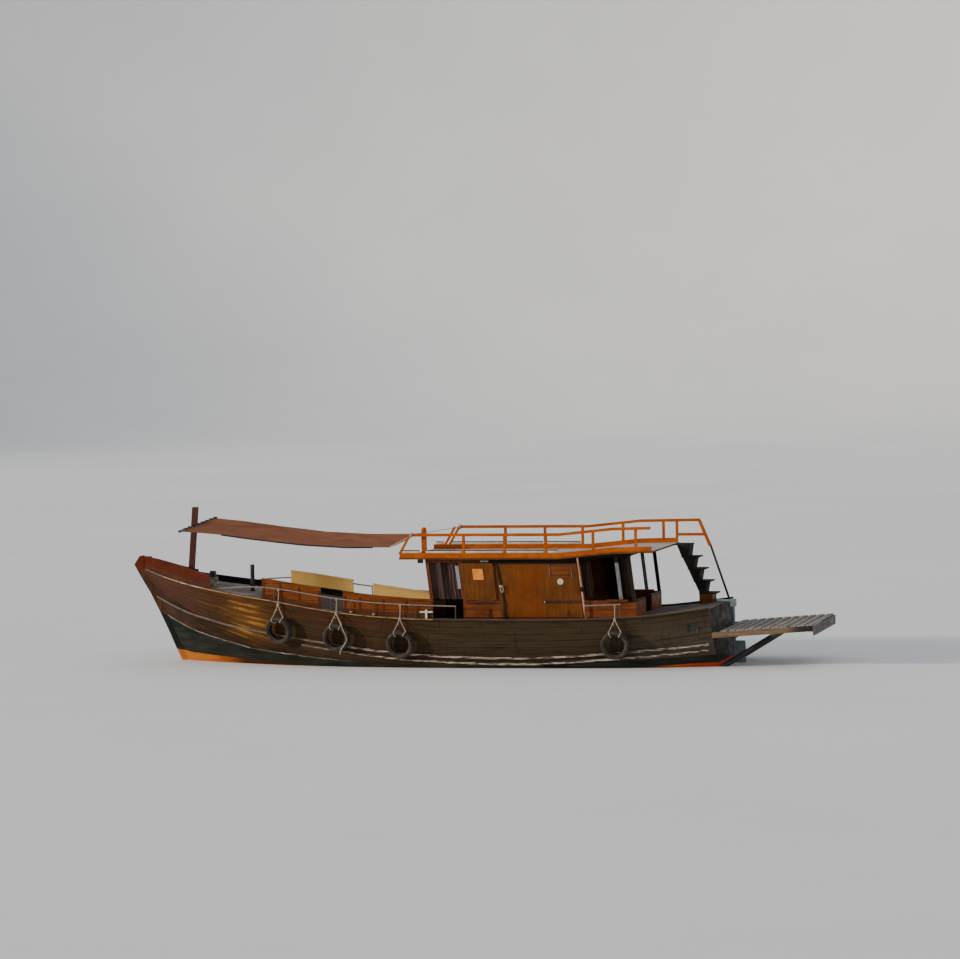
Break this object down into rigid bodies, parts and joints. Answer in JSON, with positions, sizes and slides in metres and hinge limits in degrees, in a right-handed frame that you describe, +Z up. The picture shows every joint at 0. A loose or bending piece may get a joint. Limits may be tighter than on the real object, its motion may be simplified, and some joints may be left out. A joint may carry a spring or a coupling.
{
  "type": "wooden motor boat",
  "caption": "Decked wooden motor boat with deckhouse, roof rack, awning, tyre fenders, rudder, propeller and stern platform, floating at its waterline.",
  "frame": {"origin": "on the centreline amidships, 6.15 m forward of the transom's top edge, at the waterline", "axes": "+X towards the bow, +Y to port, +Z up from the water"},
  "size_m": [14.7383, 3.6228, 4.18],
  "materials": {
    "hull_planks": "oiled and tarred planking, black below, worn",
    "keel_timber": "oiled hardwood",
    "engine_iron": "painted casting",
    "sole_planks": "bare scrubbed planks",
    "red_brown_timber": "red-brown varnish, worn",
    "panel_boards": "red-brown varnish outside, yellow paint inside",
    "worn_strake_paint": "peeling off-white paint",
    "rail_pipe": "weathered off-white paint",
    "tyre_rubber": "old dusty rubber with fibre rope",
    "black_steel": "black paint",
    "awning_canvas": "faded brown canvas",
    "white_paint": "worn white paint",
    "varnished_board": "satin varnish",
    "curtain_cloth": "dark woven cloth",
    "helm_wood": "varnish",
    "roof_cover": "painted canvas over boards",
    "orange_paint": "orange paint, faded",
    "lamp_metal": "grey paint",
    "dark_timber": "dark stained timber",
    "grey_timber": "weathered grey timber",
    "rudder_steel": "grey-blue paint over steel",
    "propeller_bronze": "cast bronze"
  },
  "bodies": {
    "boat": {"hull": "hull_planks", "keel": "keel_timber", "stem_post": "keel_timber", "bow_bitt": "keel_timber", "engine": "engine_iron", "cabin_sole": "sole_planks", "gunwale_port": "red_brown_timber", "bow_bulwark_port": "red_brown_timber", "gunwale_starboard": "red_brown_timber", "bow_bulwark_starboard": "red_brown_timber", "bow_post": "red_brown_timber", "house_coaming": "red_brown_timber", "house_frame": "red_brown_timber", "side_panel_fore_port": "panel_boards", "side_panel_mid_port": "panel_boards", "side_panel_fore_starboard": "panel_boards", "side_panel_mid_starboard": "panel_boards", "rub_strake_upper_port": "worn_strake_paint", "rub_strake_lower_port": "worn_strake_paint", "rub_strake_upper_starboard": "worn_strake_paint", "rub_strake_lower_starboard": "worn_strake_paint", "handrail_fore_port": "rail_pipe", "handrail_aft_port": "rail_pipe", "handrail_fore_starboard": "rail_pipe", "handrail_aft_starboard": "rail_pipe", "fender_1_port": "tyre_rubber", "fender_2_port": "tyre_rubber", "fender_3_port": "tyre_rubber", "fender_4_port": "tyre_rubber", "fender_1_starboard": "tyre_rubber", "fender_2_starboard": "tyre_rubber", "fender_3_starboard": "tyre_rubber", "fender_4_starboard": "tyre_rubber", "awning_spreader": "black_steel", "deck_pillar": "black_steel", "stern_stay_starboard": "black_steel", "rudder_bracket": "black_steel", "awning": "awning_canvas", "gunwale_cleat_port": "white_paint", "gunwale_cleat_starboard": "white_paint", "house_panel_port": "varnished_board", "house_panel_starboard": "varnished_board", "house_front": "varnished_board", "helm_console": "varnished_board", "aft_locker": "varnished_board", "curtain_port": "curtain_cloth", "curtain_starboard": "curtain_cloth", "roof_deck": "roof_cover", "roof_rack_port": "orange_paint", "roof_rack_starboard": "orange_paint", "roof_lamp": "lamp_metal", "stair": "dark_timber", "stern_platform": "grey_timber", "platform_end_board": "grey_timber"},
    "propeller": {"propeller": "propeller_bronze"},
    "rudder": {"rudder": "rudder_steel"},
    "helm": {"helm_wheel": "helm_wood"},
    "shutter_port": {"side_shutter_port": "varnished_board"},
    "shutter_starboard": {"side_shutter_starboard": "varnished_board"}
  },
  "joints": [
    {"name": "propeller_spin", "type": "hinge", "parent": "boat", "child": "propeller", "pos_m": [-5.8, 0, -0.6], "axis": [1, 0, 0], "continuous": true},
    {"name": "rudder_turn", "type": "hinge", "parent": "boat", "child": "rudder", "pos_m": [-6.405, 0, 0], "axis": [0, 0, 1], "range_deg": [-35, 35]},
    {"name": "helm_turn", "type": "hinge", "parent": "boat", "child": "helm", "pos_m": [-0.83, 0, 1.15], "axis": [1, 0, 0], "range_deg": [-541, 541]},
    {"name": "shutter_swing_port", "type": "hinge", "parent": "boat", "child": "shutter_port", "pos_m": [-1.797, 1.323, 1.33], "axis": [0.1142, 0, 0.9935], "range_deg": [0, 100]},
    {"name": "shutter_swing_starboard", "type": "hinge", "parent": "boat", "child": "shutter_starboard", "pos_m": [-1.797, -1.323, 1.33], "axis": [-0.1142, 0, -0.9935], "range_deg": [0, 100]}
  ],
  "couplings": [
    {"joint": "helm_turn", "follows": "rudder_turn", "ratio": 15.42}
  ]
}
